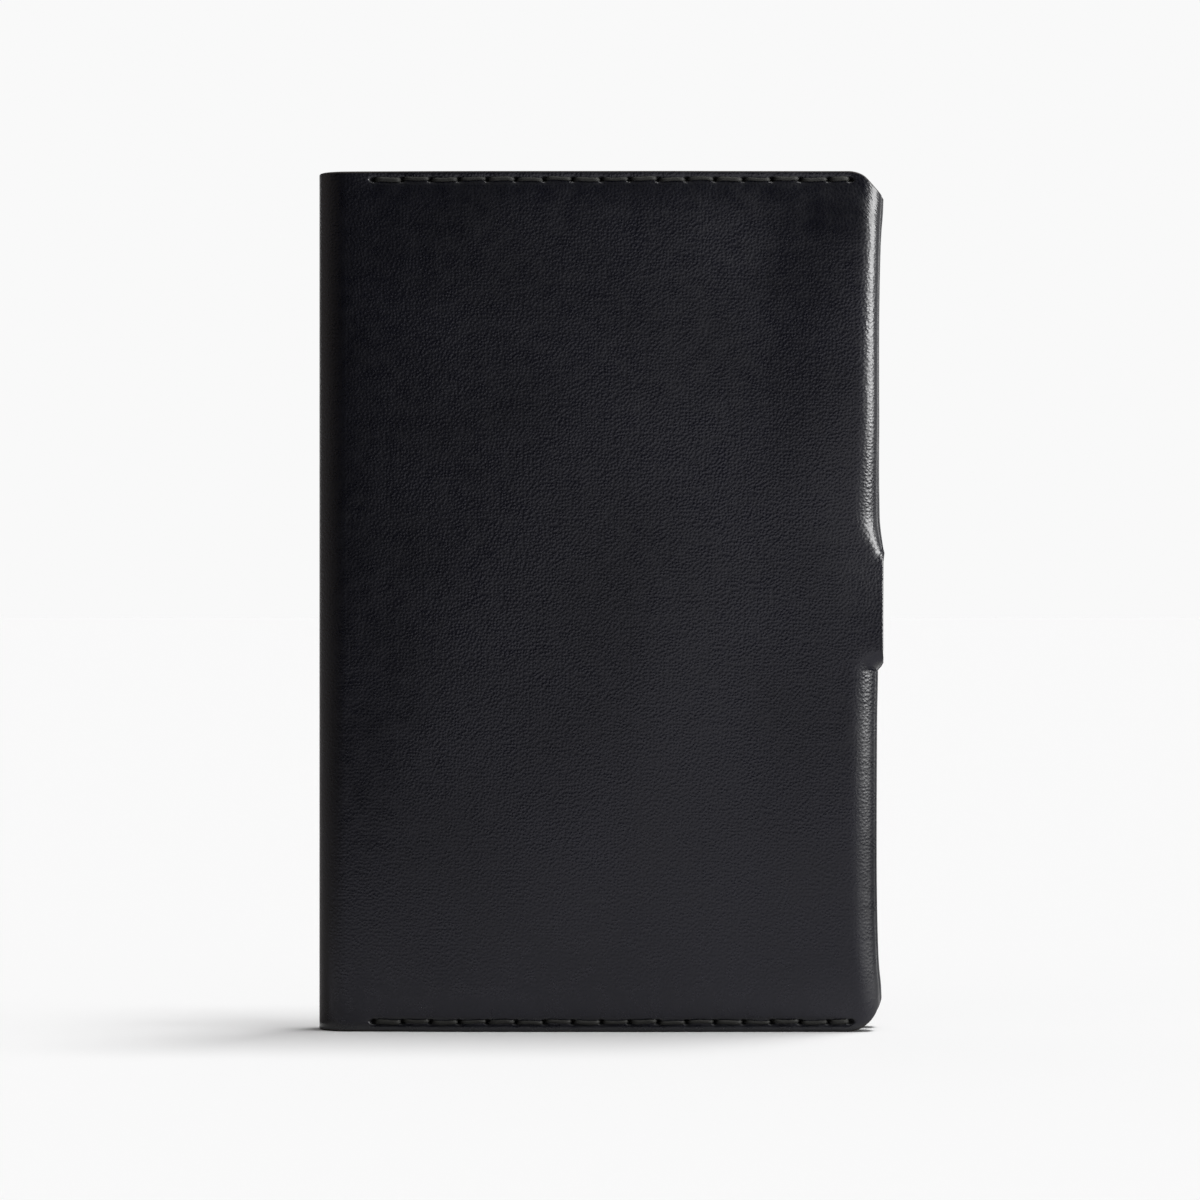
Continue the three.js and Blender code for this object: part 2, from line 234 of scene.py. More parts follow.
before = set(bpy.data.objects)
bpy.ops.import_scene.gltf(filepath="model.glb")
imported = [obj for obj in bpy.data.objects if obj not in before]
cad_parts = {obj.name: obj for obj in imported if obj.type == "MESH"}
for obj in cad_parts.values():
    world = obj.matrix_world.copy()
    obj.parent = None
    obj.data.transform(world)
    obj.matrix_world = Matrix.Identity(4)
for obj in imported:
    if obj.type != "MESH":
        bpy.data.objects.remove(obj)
cad_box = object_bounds()

box_low, box_high = (np.array(corner) / MM for corner in cad_box)
WIDTH, THICKNESS, HEIGHT = box_high - box_low
TAB_Z = HEIGHT / 2 - TAB_DROP
MID_PLANE = THICKNESS / 2
SPINE_ARC = SPINE_BEND * (math.pi / 2 - BOARD_TILT)
ROWS = (BOTTOM_ROW_INSET, HEIGHT - TOP_ROW_INSET)


def smooth(t):
    """Goes from 0 to 1 as t does, level at both ends."""
    t = np.clip(t, 0, 1)
    return t * t * (3 - 2 * t)


def swell(t):
    """Goes from 0 to 1 as t does, steep at the start and level at the end."""
    return np.sin(np.clip(t, 0, 1) * math.pi / 2)


def mix(a, b, t):
    return a + (b - a) * t


def spread(first, last, step):
    return np.linspace(first, last, max(2, round((last - first) / step) + 1))


def merge_lines(kept, others, gap):
    """All the kept grid lines, and the others that aren't within gap of a line already there."""
    lines = sorted(set(float(k) for k in kept))
    for value in others:
        if np.min(np.abs(np.array(lines) - value)) > gap:
            lines.append(float(value))
    return np.array(sorted(lines))


def spine_profile():
    """The cover's cross-section from the apex of the spine: length along it, x, and rise from the apex.

    It turns round the spine, and the board then levels out little by little, as stiff leather does.
    """
    along = np.arange(0, 2 * WIDTH, PROFILE_STEP)
    tilt = np.where(
        along < SPINE_ARC,
        along / SPINE_BEND,
        math.pi / 2 - BOARD_TILT * np.exp(-(along - SPINE_ARC) / TILT_FADE),
    )
    x = np.r_[0, np.cumsum(np.sin((tilt[1:] + tilt[:-1]) / 2) * np.diff(along))]
    rise = np.r_[0, np.cumsum(np.cos((tilt[1:] + tilt[:-1]) / 2) * np.diff(along))]
    return along, box_low[0] + LEATHER / 2 + x, rise


PROFILE_U, PROFILE_X, PROFILE_RISE = spine_profile()
BOARD_CROWN = MID_PLANE - PROFILE_RISE[-1] + BOARD_FALL - LEATHER / 2


def blank_place(x):
    """Length along the blank, from the apex of the spine, of a place on the board."""
    return np.interp(x, PROFILE_X, PROFILE_U)


def row_holes(first, last):
    """Places of the holes of a row, which ends with a shorter stitch."""
    return np.array([*np.arange(first, last - SHORTEST_STITCH, STITCH_PITCH), last])


def cover_half(side, node, body):
    """Sizes of one half of the cover: side is -1 for the front and 1 for the back."""
    tab_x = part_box(node)[1].x / MM
    fold = blank_place(tab_x - FOLD_INSET)
    board_holes = blank_place(row_holes(box_low[0] + FIRST_STITCH, tab_x - LAST_STITCH))
    flap_edge = blank_place(box_low[0] + FLAP_INSET)
    return SimpleNamespace(
        side=side,
        node=node,
        body=body,
        fold=fold,
        tab=fold + TAB_REACH,
        end=2 * (fold + FOLD_BOW) - flap_edge,
        board_holes=board_holes,
        flap_holes=2 * (fold + FOLD_BOW) - board_holes,
    )


FRONT = cover_half(-1, "front_cover", "front")
BACK = cover_half(1, "back_cover", "back")


def seam_distance(z):
    """Distance from the nearer sewn edge, past the flat seam band."""
    return np.maximum(np.minimum(z, HEIGHT - z) - SEAM_BAND, 0)


def edge_sink(z):
    """How far the seams draw the board inwards along its upper and lower edges."""
    edge = np.minimum(z, HEIGHT - z)
    return EDGE_SINK * (1 - swell(edge / EDGE_SINK_RUN)) ** 2


def slit_opening(z):
    """How full the fold is: closed at the upper end of the slit beside the tab, nearly full at the lower."""
    low, high = TAB_Z - TAB_HEIGHT / 2, TAB_Z + TAB_HEIGHT / 2
    above = swell((z - high) / SLIT_RUN_ABOVE)
    below = mix(SLIT_FULLNESS, 1, smooth((low - z) / SLIT_RUN_BELOW))
    inside = SLIT_FULLNESS * (1 - smooth((z - low) / TAB_HEIGHT))
    return np.where(z > high, above, np.where(z < low, below, inside))


def fold_puff(z):
    """How far the rolled fold stands proud of the board."""
    amount = mix(PUFF_LOWER, PUFF_UPPER, smooth((z - TAB_Z) / HEIGHT + 0.5))
    past = np.abs(z - TAB_Z) - TAB_HEIGHT / 2
    return amount * smooth(past / PUFF_FADE) * smooth(seam_distance(z) / PUFF_TOP_RUN)


def upper_share(z):
    """1 well above the thumb tab, 0 beside it and below it."""
    return smooth((z - TAB_Z - TAB_HEIGHT / 2) / ROLL_EASE_RUN)


def fold_depth(z):
    full = mix(FOLD_DEPTH_LOWER, FOLD_DEPTH_UPPER, upper_share(z))
    seam = mix(SEAM_DEPTH, FOLD_SEAM_DEPTH, smooth((np.abs(z - TAB_Z) - TAB_HEIGHT / 2) / FOLD_RAMP))
    return mix(seam, full, swell(seam_distance(z) / FOLD_RAMP) * slit_opening(z))


def fold_bow(z):
    """How far the fold line lies outwards: near the corners, higher up, and just above the thumb tab."""
    bow = FOLD_BOW * (1 - swell(seam_distance(z) / FOLD_BOW_RUN))
    lean = FOLD_LEAN * (smooth(FOLD_LEAN_RATE * z / HEIGHT - FOLD_LEAN_START) - FOLD_LEAN_LEVEL)
    above_tab = (z - TAB_Z - TAB_HEIGHT / 2) / FOLD_PULL_RUN
    return bow + lean + FOLD_PULL * np.exp(-((above_tab - FOLD_PULL_PEAK) ** 2))


def flap_depth(z):
    return mix(SEAM_DEPTH, FLAP_DEPTH, swell(seam_distance(z) / FLAP_RAMP))


def tab_bend(z):
    """1 where the board rolls into the fold, 0 where it runs out flat into the thumb tab."""
    above = smooth((TAB_Z + TAB_HEIGHT / 2 - z) / TAB_UNROLL_ABOVE)
    below = smooth((z - TAB_Z + TAB_HEIGHT / 2) / TAB_UNROLL_BELOW)
    return 1 - above * below


def roll_profile(ease):
    """A roll of radius 1 whose bend builds up over the length ease: lengths along it, runs and depths."""
    along = np.linspace(0, 2 * math.pi, ROLL_STEPS)
    turn = np.minimum(np.where(along < ease, along**2 / (2 * ease), along - ease / 2), math.pi)
    between = (turn[1:] + turn[:-1]) / 2
    run = np.r_[0, np.cumsum(np.cos(between) * np.diff(along))]
    depth = np.r_[0, np.cumsum(np.sin(between) * np.diff(along))]
    return along, run, depth


ROLLS = [roll_profile(ease) for ease in (ROLL_EASE_LOWER, ROLL_EASE_UPPER)]


def roll_place(along, upper):
    """Run and depth of places along a roll of radius 1, between the lower and the upper roll."""
    places = [(np.interp(along, s, run), np.interp(along, s, depth)) for s, run, depth in ROLLS]
    return [mix(low, high, upper) for low, high in zip(*places)]


def corner_drop(inside, upper):
    """How much the corners are cut away inside the fold's outer edge: chamfered above, round below."""
    reach = np.clip(CORNER_REACH - inside, 0, CORNER_REACH)
    turn = CORNER_RADIUS * math.sqrt(0.5)
    arc = CORNER_RADIUS - np.sqrt(CORNER_RADIUS**2 - np.minimum(reach, turn) ** 2)
    chamfered = arc + np.maximum(reach - turn, 0)
    rounded = CORNER_REACH - np.sqrt(CORNER_REACH**2 - (CORNER_SWEEP * reach) ** 2)
    return np.where(upper, chamfered, rounded)


def waviness(x, z):
    """Gentle unevenness of the board, as leather has."""
    waves = [share * np.sin(per_x * x + per_z * z + phase) for share, per_x, per_z, phase in WAVES]
    return WAVE_HEIGHT * sum(waves)


def tab_curl(half, u, z):
    """How far the edge of the thumb tab curls inwards."""
    past = u - half.tab
    across = np.clip(past / TAB_CURL_RUN + 1, 0, 1) ** 2 * (1 - smooth(past / TAB_CURL_FADE))
    return TAB_CURL * across * np.exp(-(((z - TAB_Z - TAB_CURL_RISE) / TAB_CURL_SPREAD) ** 2))


def middle(half, u, z, flap):
    """Where places on the flat blank lie, half way through the leather."""
    puff = fold_puff(z)
    fold = fold_depth(z) - puff
    upper = upper_share(z)
    ease = mix(ROLL_EASE_LOWER, ROLL_EASE_UPPER, upper)
    roll_end = math.pi + ease / 2
    end_run, end_depth = roll_place(roll_end, upper)
    radius = (fold_depth(z) - edge_sink(z) - BOARD_CROWN - LEATHER) / end_depth
    start = half.fold + fold_bow(z) - radius * (roll_end - math.pi / 2)
    roll_x = np.interp(start, PROFILE_U, PROFILE_X)
    sink = edge_sink(z) * smooth((u - SPINE_ARC) / SPINE_EASE) - puff * smooth((u - start) / PUFF_RUN + 1)

    x = np.interp(u, PROFILE_U, PROFILE_X)
    rise = np.interp(u, PROFILE_U, PROFILE_RISE)
    level = smooth((u - SPINE_ARC) / SPINE_EASE) * smooth((start - u) / SPINE_EASE)
    fall = BOARD_FALL * smooth((u - half.fold + FALL_START) / FALL_RUN)
    depth = MID_PLANE - rise + fall + sink + waviness(x, z) * level
    crown = MID_PLANE - np.interp(start, PROFILE_U, PROFILE_RISE) + BOARD_FALL - LEATHER / 2

    past = np.maximum(u - start, 0)
    bend = np.ones_like(z) if flap else np.maximum(tab_bend(z), LEAST_BEND)
    run, drop = roll_place(np.minimum(past * bend / radius, roll_end), upper)
    x = np.where(past > 0, roll_x + run * radius / bend, x)
    depth = np.where(past > 0, crown + edge_sink(z) - puff + LEATHER / 2 + drop * radius / bend, depth)
    beyond = np.maximum(past - roll_end * radius, 0)
    on_flap = (beyond > 0) & flap
    flap_face = mix(fold, flap_depth(z), smooth(beyond / SWELL_RUN))
    straight = 2 * (FOLD_BOW - fold_bow(z)) * smooth(beyond / STRAIGHTEN_RUN)
    x = np.where(on_flap, roll_x + end_run * radius - beyond + straight, x)
    depth = np.where(on_flap, flap_face - LEATHER / 2, depth)
    depth = depth + tab_curl(half, u, z)

    edge = np.minimum(z, HEIGHT - z)
    apex_x = roll_x + roll_place(roll_end - math.pi / 2, upper)[0] * radius
    turned = np.clip((x - roll_x) / (apex_x - roll_x), 0, 1)
    inside = apex_x - x + LEATHER / 2 * (1 - turned)
    cut = corner_drop(inside, z > HEIGHT / 2) * (1 - smooth(edge / CORNER_FADE))
    height = np.where(z > HEIGHT / 2, z - cut, z + cut)
    return np.stack([x, half.side * (MID_PLANE - depth), height], -1)


def grid_normals(half, points):
    """Unit normals of a grid of points, out of the grain side."""
    across = np.cross(np.gradient(points, axis=1), np.gradient(points, axis=0))
    return -half.side * across / np.linalg.norm(across, axis=-1, keepdims=True)


def row_dents(u, z, holes, row):
    """Depth of one row's stitch holes, of the groove that they stand in, and of the pull around them."""
    above = z - row
    begun = smooth((u - min(holes) + GROOVE_END) / (2 * GROOVE_END))
    ended = smooth((max(holes) + GROOVE_END - u) / (2 * GROOVE_END))
    groove = GROOVE_DEPTH * np.exp(-((above / GROOVE_HALF_WIDTH) ** 4)) * (begun * ended)
    pit = np.zeros_like(u)
    pull = np.zeros_like(u)
    for hole in holes:
        apart = u - hole
        near = (apart / HOLE_HALF_LENGTH) ** 2 + (above / HOLE_HALF_WIDTH) ** 2
        pit = np.maximum(pit, np.exp(-(near**2)))
        pull = np.maximum(pull, np.exp(-(apart**2 + above**2) / PULL_RADIUS**2))
    return np.maximum(HOLE_DEPTH * pit, groove + PULL_DEPTH * pull), pit


def blank_dents(half, u, z):
    """Depth of all stitch marks on a half, and 1 inside each hole."""
    depth = np.zeros_like(u)
    pits = np.zeros_like(u)
    for holes in (half.board_holes, half.flap_holes):
        for row in ROWS:
            dent, pit = row_dents(u, z, holes, row)
            depth = np.maximum(depth, dent)
            pits = np.maximum(pits, pit)
    return depth, pits


def boundary_loops(quads):
    """Vertex loops round the open edges of a sheet, with the sheet on their left."""
    edges = np.concatenate([np.stack([quads[:, k], quads[:, (k + 1) % 4]], 1) for k in range(4)])
    present = set(map(tuple, edges.tolist()))
    following = {a: b for a, b in present if (b, a) not in present}
    loops = []
    while following:
        first = next(iter(sorted(following)))
        loop = [first]
        step = following.pop(first)
        while step != first:
            loop.append(step)
            step = following.pop(step)
        loops.append(np.array(loop))
    return loops


def rim_directions(points, normals, loop, butted):
    """Unit directions out of the sheet along a loop, none along edges that butt against the other half."""
    ahead = np.roll(loop, -1)
    run = points[ahead] - points[loop]
    out = np.cross(run, normals[loop] + normals[ahead])
    out /= np.maximum(np.linalg.norm(out, axis=1, keepdims=True), TINY)
    out[butted[loop] & butted[ahead]] = 0
    out = out + np.roll(out, 1, axis=0)
    return out / np.maximum(np.linalg.norm(out, axis=1, keepdims=True), TINY)


def leather_sheet(name, points, normals, quads, blank, thickness, dents, butted, edge_round):
    """A closed leather sheet: grain side, flesh side and rounded cut edges, made from its middle surface.

    blank holds the places on the flat leather, which the materials use for their grain.
    """
    count = len(points)
    depth, pits = dents
    grain = points + normals * (thickness / 2 - depth[:, None])
    flesh = points - normals * thickness / 2
    verts = [grain, flesh]
    coords = [np.c_[blank, np.zeros(count)], np.c_[blank, np.full(count, FLESH_SHIFT)]]
    masks = [pits, np.zeros(count)]
    faces = [quads, quads[:, ::-1] + count]
    slots = [np.zeros(len(quads), int), np.ones(len(quads), int)]
    total = 2 * count
    for loop in boundary_loops(quads):
        out = rim_directions(points, normals, loop, butted)
        size = len(loop)
        previous = loop
        for ring in range(1, EDGE_RINGS + 1):
            if ring < EDGE_RINGS:
                angle = math.pi * (0.5 - ring / EDGE_RINGS)
                lift = normals[loop] * thickness / 2 * math.sin(angle)
                verts.append(points[loop] + lift + out * edge_round * math.cos(angle))
                coords.append(np.c_[blank[loop], np.full(size, FLESH_SHIFT * ring / EDGE_RINGS)])
                masks.append(np.zeros(size))
                current = total + np.arange(size)
                total += size
            else:
                current = loop + count
            strip = np.stack([previous, current, np.roll(current, -1), np.roll(previous, -1)], 1)
            faces.append(strip)
            slots.append(np.full(size, 2))
            previous = current
    values = {"blank": np.concatenate(coords), "pit": np.concatenate(masks)}
    faces = np.concatenate(faces).tolist()
    return make_mesh(name, np.concatenate(verts), faces, values, np.concatenate(slots))


def make_mesh(name, verts, faces, values, slots=None):
    """A smooth-shaded mesh object from places in millimetres, with named values at its vertices."""
    mesh = bpy.data.meshes.new(name)
    mesh.from_pydata((verts * MM).tolist(), [], faces)
    mesh.polygons.foreach_set("use_smooth", np.ones(len(faces), bool))
    if slots is not None:
        mesh.polygons.foreach_set("material_index", slots.astype(np.int32))
    for key, data in values.items():
        if data.ndim == 2:
            mesh.attributes.new(key, "FLOAT_VECTOR", "POINT").data.foreach_set("vector", data.ravel())
        else:
            mesh.attributes.new(key, "FLOAT", "POINT").data.foreach_set("value", data)
    mesh.update()
    made = bpy.data.objects.new(name, mesh)
    bpy.context.collection.objects.link(made)
    return made


def hole_lines(holes, offsets=HOLE_OFFSETS):
    offsets = np.array(offsets)
    return np.concatenate([[h, *(h + offsets), *(h - offsets)] for h in holes])


def cover_grid(half):
    """Grid lines on the blank: columns of the board with its tab, columns of the flap, and rows."""
    low, high = TAB_Z - TAB_HEIGHT / 2, TAB_Z + TAB_HEIGHT / 2
    rows = [row + s * ROW_OFFSETS for row in ROWS for s in (-1, 1)]
    rows += [end + s * SLIT_OFFSETS for end in (low, high) for s in (-1, 1)]
    rows = np.concatenate([*rows, spread(EDGE_ROUND, HEIGHT - EDGE_ROUND, COARSE_STEP)])
    rows = rows[(rows >= EDGE_ROUND) & (rows <= HEIGHT - EDGE_ROUND)]
    rows = merge_lines([EDGE_ROUND, low, high, HEIGHT - EDGE_ROUND, *ROWS], rows, LINE_GAP)
    board = [
        hole_lines(half.board_holes),
        APEX_OFFSETS,
        spread(0, SPINE_ARC, SPINE_STEP),
        spread(half.fold - FOLD_GRID_REACH, half.tab, FOLD_STEP),
        spread(SPINE_ARC, half.fold - FOLD_GRID_REACH, COARSE_STEP),
    ]
    flap = [
        hole_lines(half.flap_holes),
        spread(half.tab, half.fold + FOLD_GRID_REACH, FOLD_STEP),
        spread(half.fold + FOLD_GRID_REACH, half.end - EDGE_ROUND, COARSE_STEP),
    ]
    board = merge_lines([0, half.tab, *half.board_holes], np.concatenate(board), LINE_GAP)
    flap = merge_lines([half.tab, half.end - EDGE_ROUND, *half.flap_holes], np.concatenate(flap), LINE_GAP)
    return board, flap[flap <= half.end - EDGE_ROUND], rows


def make_cover(half, name):
    """One half of the cover: half the spine, the board with its thumb tab, the rolled fold and the flap."""
    board_u, flap_u, rows = cover_grid(half)
    slit = np.abs(rows - TAB_Z) < TAB_HEIGHT / 2 - LINE_SLACK
    u1, z1 = np.meshgrid(board_u, rows)
    u1[slit, -1] -= EDGE_ROUND
    u2, z2 = np.meshgrid(flap_u, rows)
    along = np.clip(np.abs(2 * (rows - TAB_Z) / TAB_HEIGHT), 0, 1)
    notch = NOTCH_DEPTH * (1 - along**NOTCH_POWER) ** (1 / NOTCH_POWER)
    u2 += notch[:, None] * (1 - np.clip((u2 - half.tab) / NOTCH_BLEND, 0, 1))

    grids = []
    for u, z, flap in ((u1, z1, False), (u2, z2, True)):
        points = middle(half, u, z, flap)
        depth, pits = blank_dents(half, u, z)
        grids.append((points, grid_normals(half, points), np.stack([u, z], -1), depth, pits))
    joined = grids[0][1][:, -1] + grids[1][1][:, 0]
    joined /= np.linalg.norm(joined, axis=1, keepdims=True)
    grids[0][1][~slit, -1] = joined[~slit]

    board_ids = np.arange(u1.size).reshape(u1.shape)
    flap_ids = np.zeros(u2.shape, int)
    own = np.ones(u2.shape, bool)
    own[~slit, 0] = False
    flap_ids[own] = u1.size + np.arange(own.sum())
    flap_ids[~slit, 0] = board_ids[~slit, -1]
    quads = np.concatenate([
        np.stack([g[:-1, :-1], g[:-1, 1:], g[1:, 1:], g[1:, :-1]], -1).reshape(-1, 4)
        for g in (board_ids, flap_ids)
    ])
    if half.side > 0:
        quads = quads[:, ::-1]
    merged = [
        np.concatenate([a.reshape(u1.size, *a.shape[2:]), b[own]])
        for a, b in zip(grids[0], grids[1])
    ]
    points, normals, blank, depth, pits = merged
    butted = np.zeros(len(points), bool)
    butted[board_ids[:, 0]] = True
    return leather_sheet(name, points, normals, quads, blank, LEATHER, (depth, pits), butted, EDGE_ROUND)


def cover_surface(half, u, z, flap):
    """Points and unit normals on the grain side of the cover."""
    here = middle(half, u, z, flap)
    run = middle(half, u + SLOPE_STEP, z, flap) - here
    rise = middle(half, u, z + SLOPE_STEP, flap) - here
    normals = -half.side * np.cross(run, rise)
    normals /= np.linalg.norm(normals, axis=1, keepdims=True)
    return here + normals * LEATHER / 2, normals


def cover_runs(half, row):
    """A row's stitches on the outside of the board and on the inside of its flap."""
    return [
        (half.board_holes, lambda along, across: cover_surface(half, along, row + across, False)),
        (half.flap_holes, lambda along, across: cover_surface(half, along, row + across, True)),
    ]


def card_pocket(layer, node):
    """Sizes of one card pocket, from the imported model."""
    low, high = (np.array(corner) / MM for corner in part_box(node))
    return SimpleNamespace(
        layer=layer,
        node=node,
        centre=(low[0] + high[0]) / 2,
        half_width=(high[0] - low[0]) / 2,
        foot=low[2],
        mouth=high[2],
        thickness=high[1] - low[1],
        depth=(low[1] + high[1]) / 2,
    )


CARD_NODES = ("card_pocket_back", "card_pocket_middle", "card_pocket_front")
CARDS = [card_pocket(layer, name) for layer, name in enumerate(CARD_NODES)]
CARD_LAYER = CARDS[1].depth - CARDS[0].depth
CARD_SIDE_ROW = CARDS[0].half_width - CARD_STITCH_INSET


CARD_SIDE_HOLES = row_holes(CARDS[-1].foot + CARD_STITCH_INSET, CARDS[0].mouth - CARD_STITCH_INSET)
CARD_FOOT_HOLES = CARDS[0].centre + row_holes(STITCH_PITCH - CARD_SIDE_ROW, CARD_SIDE_ROW - STITCH_PITCH)


def card_depth(card, x, z):
    """Middle of a pocket's leather: held off the flap by the pockets behind, and bent down past them."""
    beside = np.abs(x - card.centre) - card.half_width + CARD_TAIL_INSET
    depth = np.full(np.broadcast(x, z).shape, CARDS[0].depth)
    for behind in CARDS[:card.layer]:
        above_foot = smooth((z - behind.foot) / CARD_BEND + 1)
        depth = depth + CARD_LAYER * above_foot * (1 - smooth(beside / CARD_BEND))
    return depth


def card_surface(card, x, z):
    """Points and unit normals on the grain side of a card pocket."""
    x, z = np.broadcast_arrays(np.asarray(x, float), np.asarray(z, float))
    depth = card_depth(card, x, z)
    slope_x = (card_depth(card, x + SLOPE_STEP, z) - depth) / SLOPE_STEP
    slope_z = (card_depth(card, x, z + SLOPE_STEP) - depth) / SLOPE_STEP
    normals = np.stack([-slope_x, np.ones_like(depth), -slope_z], -1)
    normals /= np.linalg.norm(normals, axis=-1, keepdims=True)
    return np.stack([x, depth, z], -1) + normals * card.thickness / 2, normals


def card_side_surface(side, along, across):
    """Along a side row, the pocket whose wide part the stitches go through."""
    x = CARDS[0].centre + side * CARD_SIDE_ROW + across
    card = next(card for card in reversed(CARDS) if along.mean() <= card.mouth)
    return card_surface(card, x, along)


def card_dents(card, x, z):
    """Depth of a pocket's stitch marks and of the crease under its mouth, and 1 inside each hole."""
    dents = [row_dents(x, z, CARD_FOOT_HOLES, card.foot + CARD_STITCH_INSET)]
    for side in (-1, 1):
        dents.append(row_dents(z, x, CARD_SIDE_HOLES, card.centre + side * CARD_SIDE_ROW))
    crease = CREASE_DEPTH * np.exp(-(((card.mouth - CREASE_INSET - z) / CREASE_HALF_WIDTH) ** 2))
    depth = np.maximum(crease, CARD_DENT * np.max([dent for dent, _ in dents], axis=0))
    return depth, np.max([pit for _, pit in dents], axis=0)


def make_card_pocket(card, name):
    """A card pocket: wide at its mouth, and narrow behind the pocket in front of it."""
    inset = CARD_EDGE_ROUND
    reach = card.half_width - inset
    tail = card.half_width - CARD_TAIL_INSET - inset
    low, high = card.foot + inset, card.mouth - inset
    shoulder = card.mouth - CARD_STEP + inset
    offsets = CARD_HOLE_OFFSETS
    columns = [hole_lines(CARD_FOOT_HOLES, offsets)]
    columns += [spread(card.centre - reach, card.centre + reach, CARD_COARSE_STEP)]
    for side in (-1, 1):
        columns += [hole_lines([card.centre + side * CARD_SIDE_ROW], offsets)]
        columns += [card.centre + side * spread(tail, reach, CARD_EDGE_STEP)]
    rows = [hole_lines(CARD_SIDE_HOLES, offsets), hole_lines([card.foot + CARD_STITCH_INSET], offsets)]
    rows += [card.mouth - CREASE_INSET + spread(-CREASE_GRID_REACH, CREASE_GRID_REACH, CREASE_STEP)]
    rows += [spread(low, high, CARD_COARSE_STEP)]
    edges = [card.centre + side * end for side in (-1, 1) for end in (tail, reach)]
    columns = merge_lines(edges, np.concatenate(columns), CARD_COLUMN_GAP)
    rows = merge_lines([low, shoulder, high], np.concatenate(rows), CARD_ROW_GAP)
    columns = columns[np.abs(columns - card.centre) < reach + LINE_SLACK]
    rows = rows[(rows > low - LINE_SLACK) & (rows < high + LINE_SLACK)]

    x, z = np.meshgrid(columns, rows)
    points, normals = card_surface(card, x, z)
    points = points - normals * card.thickness / 2
    depth, pits = card_dents(card, x, z)
    ids = np.arange(x.size).reshape(x.shape)
    kept = np.ones(x[1:, 1:].shape, bool)
    if card is not CARDS[-1]:
        beside = np.abs((x[1:, 1:] + x[1:, :-1]) / 2 - card.centre) > tail
        kept = (z[:-1, :-1] > shoulder - LINE_SLACK) | ~beside
    quads = np.stack([ids[:-1, :-1], ids[1:, :-1], ids[1:, 1:], ids[:-1, 1:]], -1)[kept]
    used, quads = np.unique(quads, return_inverse=True)
    quads = quads.reshape(-1, 4)
    blank = np.stack([x, z], -1).reshape(-1, 2)[used]
    dents = (depth.ravel()[used], pits.ravel()[used])
    return leather_sheet(
        name, points.reshape(-1, 3)[used], normals.reshape(-1, 3)[used], quads, blank, card.thickness,
        dents, np.zeros(len(used), bool), CARD_EDGE_ROUND,
    )


def tube(path, normals, widths, heights):
    """Rings of a flattened, twisted thread along a path, with closed ends."""
    run = np.gradient(path, axis=0)
    run /= np.linalg.norm(run, axis=1, keepdims=True)
    across = np.cross(run, normals)
    across /= np.linalg.norm(across, axis=1, keepdims=True)
    up = np.cross(across, run)
    angles = np.linspace(0, 2 * math.pi, THREAD_SIDES, endpoint=False)
    lengths = np.r_[0, np.cumsum(np.linalg.norm(np.diff(path, axis=0), axis=1))]
    ridge = 1 + STRAND_RIDGE * np.cos(STRANDS * angles[None, :] - THREAD_TWIST * lengths[:, None])
    offset = (
        across[:, None] * (np.cos(angles) * ridge * widths[:, None] / 2)[..., None]
        + up[:, None] * (np.sin(angles) * ridge * heights[:, None] / 2)[..., None]
    )
    rings = path[:, None] + offset
    count = len(path)
    ids = np.arange(count * THREAD_SIDES).reshape(count, THREAD_SIDES)
    nxt = np.roll(ids, -1, axis=1)
    quads = np.stack([ids[:-1], nxt[:-1], nxt[1:], ids[1:]], -1).reshape(-1, 4).tolist()
    quads.append(ids[0, ::-1].tolist())
    quads.append(ids[-1].tolist())
    places = np.stack(np.broadcast_arrays(lengths[:, None], angles[None, :], 0.0), -1)
    return rings.reshape(-1, 3), quads, places.reshape(-1, 3)


def stitch_profile(length):
    """Distances along a stitch from hole to hole, and how high the thread lies over the leather."""
    ends = np.array(STITCH_ENDS) * [min(1, length / FULL_STITCH), 1]
    inner = spread(ends[-1, 0] + STITCH_MARGIN, length - ends[-1, 0] - STITCH_MARGIN, STITCH_STEP)
    reach = np.concatenate([ends[:, 0], inner, length - ends[::-1, 0]])
    lift = np.concatenate([ends[:, 1], np.full(len(inner), STITCH_LIFT), ends[::-1, 1]])
    return reach, lift


def make_stitches(name, runs, size=1.0, sink=GROOVE_DEPTH):
    """Saddle stitches between the holes of each run, which gives the leather's points and normals there."""
    verts, faces, places = [], [], []
    total = 0
    for holes, surface in runs:
        holes = np.sort(holes)
        for number, (a, b) in enumerate(zip(holes[:-1], holes[1:])):
            reach, lift = stitch_profile(b - a)
            extra = END_STITCH_EXTRA if number in (0, len(holes) - 2) else 0
            fat = 1 + THREAD_UNEVEN * math.sin(UNEVEN_RATE * number + a) + extra
            stray = STITCH_STRAY * math.sin(STRAY_RATE * number + a)
            across = stray + STITCH_WIGGLE * np.sin(reach * WIGGLE_RATE + number)
            points, normals = surface(np.clip(a + reach, a, b), across * size)
            path = points + normals * (lift * size - sink)[:, None]
            pinch = mix(THREAD_PINCH, 1.0, smooth((lift + PINCH_DEPTH) / PINCH_DEPTH))
            width = size * THREAD_WIDTH * fat * pinch
            height = np.full(len(path), size * THREAD_HEIGHT * fat)
            made, quads, place = tube(path, normals, width, height)
            verts.append(made)
            places.append(place)
            faces += [[i + total for i in quad] for quad in quads]
            total += len(made)
    return make_mesh(name, np.concatenate(verts), faces, {"strand": np.concatenate(places)})


def node(tree, kind, inputs=None, **settings):
    """A shader node with its settings, and with its inputs set or linked."""
    made = tree.nodes.new("ShaderNode" + kind)
    for key, value in settings.items():
        setattr(made, key, value)
    for key, value in (inputs or {}).items():
        if isinstance(value, bpy.types.NodeSocket):
            tree.links.new(value, made.inputs[key])
        else:
            made.inputs[key].default_value = value
    return made


